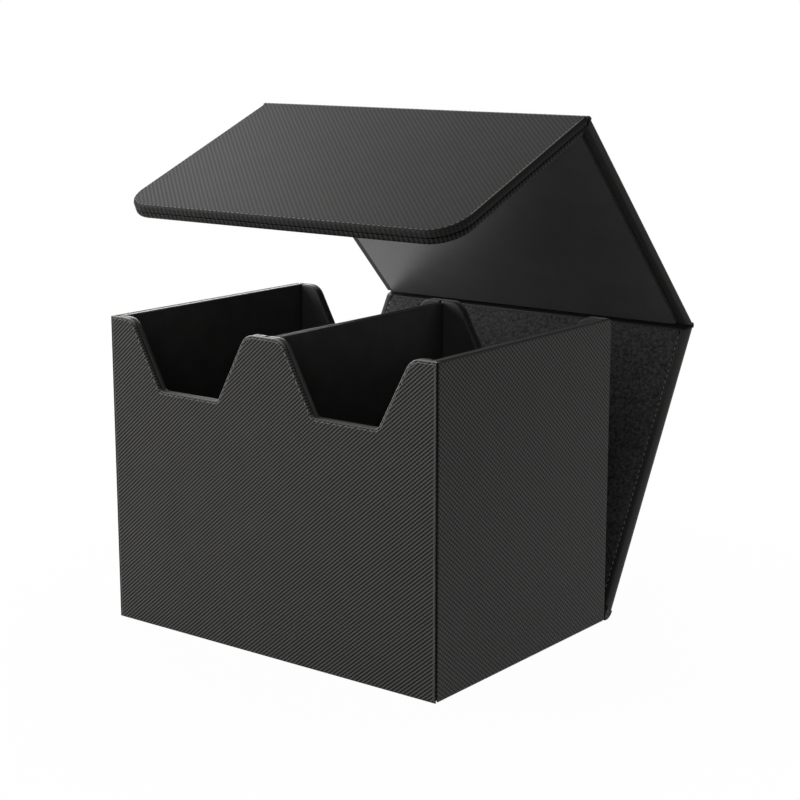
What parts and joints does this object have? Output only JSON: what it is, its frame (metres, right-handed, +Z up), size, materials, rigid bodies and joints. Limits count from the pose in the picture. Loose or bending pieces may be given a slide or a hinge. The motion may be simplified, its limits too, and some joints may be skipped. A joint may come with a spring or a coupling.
{
  "type": "graded card storage case",
  "caption": "Two-row storage box for graded trading cards in black textured covering, with notched front and rear walls and a folding cover of rear panel, top panel and flap, standing open.",
  "frame": {"origin": "middle of the box's underside, on the surface it stands on", "axes": "+X to the right seen from the front, +Y to the rear where the cover is hinged, +Z up"},
  "size_m": [0.1944, 0.2195, 0.246],
  "materials": {
    "front covering": "diagonal woven grain",
    "side covering": "diagonal woven grain",
    "cover covering": "diagonal woven grain",
    "base covering": "matt",
    "row lining": "smooth dark cloth on board",
    "smooth lining": "smooth satin",
    "felt": "mottled felt",
    "magnet": "plated"
  },
  "bodies": {
    "box": {"base_board": "base covering", "front_wall": "front covering", "rear_wall": "front covering", "left_wall": "side covering", "right_wall": "side covering", "left_side_lining": "row lining", "left_divider_board": "row lining", "left_floor_lining": "row lining", "left_front_lining": "row lining", "left_rear_lining": "row lining", "left_wall_magnet": "magnet", "right_side_lining": "row lining", "right_divider_board": "row lining", "right_floor_lining": "row lining", "right_front_lining": "row lining", "right_rear_lining": "row lining", "right_wall_magnet": "magnet", "foot_fold": "cover covering"},
    "rear_cover": {"rear_panel": "cover covering", "rear_panel_felt": "felt"},
    "top_cover": {"top_panel": "cover covering", "top_panel_lining": "smooth lining", "top_fold": "cover covering"},
    "front_flap": {"flap_panel": "cover covering", "flap_lining": "cover covering", "left_flap_magnet": "magnet", "right_flap_magnet": "magnet", "flap_fold": "cover covering"}
  },
  "joints": [
    {"name": "rear_hinge", "type": "hinge", "parent": "box", "child": "rear_cover", "pos_m": [0, 0.0744, 0], "axis": [-1, 0, 0], "range_deg": [-29.2, 60.8], "deforming": ["foot_fold"]},
    {"name": "top_hinge", "type": "hinge", "parent": "rear_cover", "child": "top_cover", "pos_m": [0, 0.15046, 0.13609], "axis": [-1, 0, 0], "range_deg": [-17.2, 35.9], "deforming": ["top_fold"]},
    {"name": "flap_hinge", "type": "hinge", "parent": "top_cover", "child": "front_flap", "pos_m": [0, 0.04522, 0.2466], "axis": [-1, 0, 0], "range_deg": [-21.1, 68.9], "deforming": ["flap_fold"]}
  ],
  "couplings": [
    {"joint": "top_hinge", "follows": "rear_hinge", "ratio": 0.589}
  ]
}
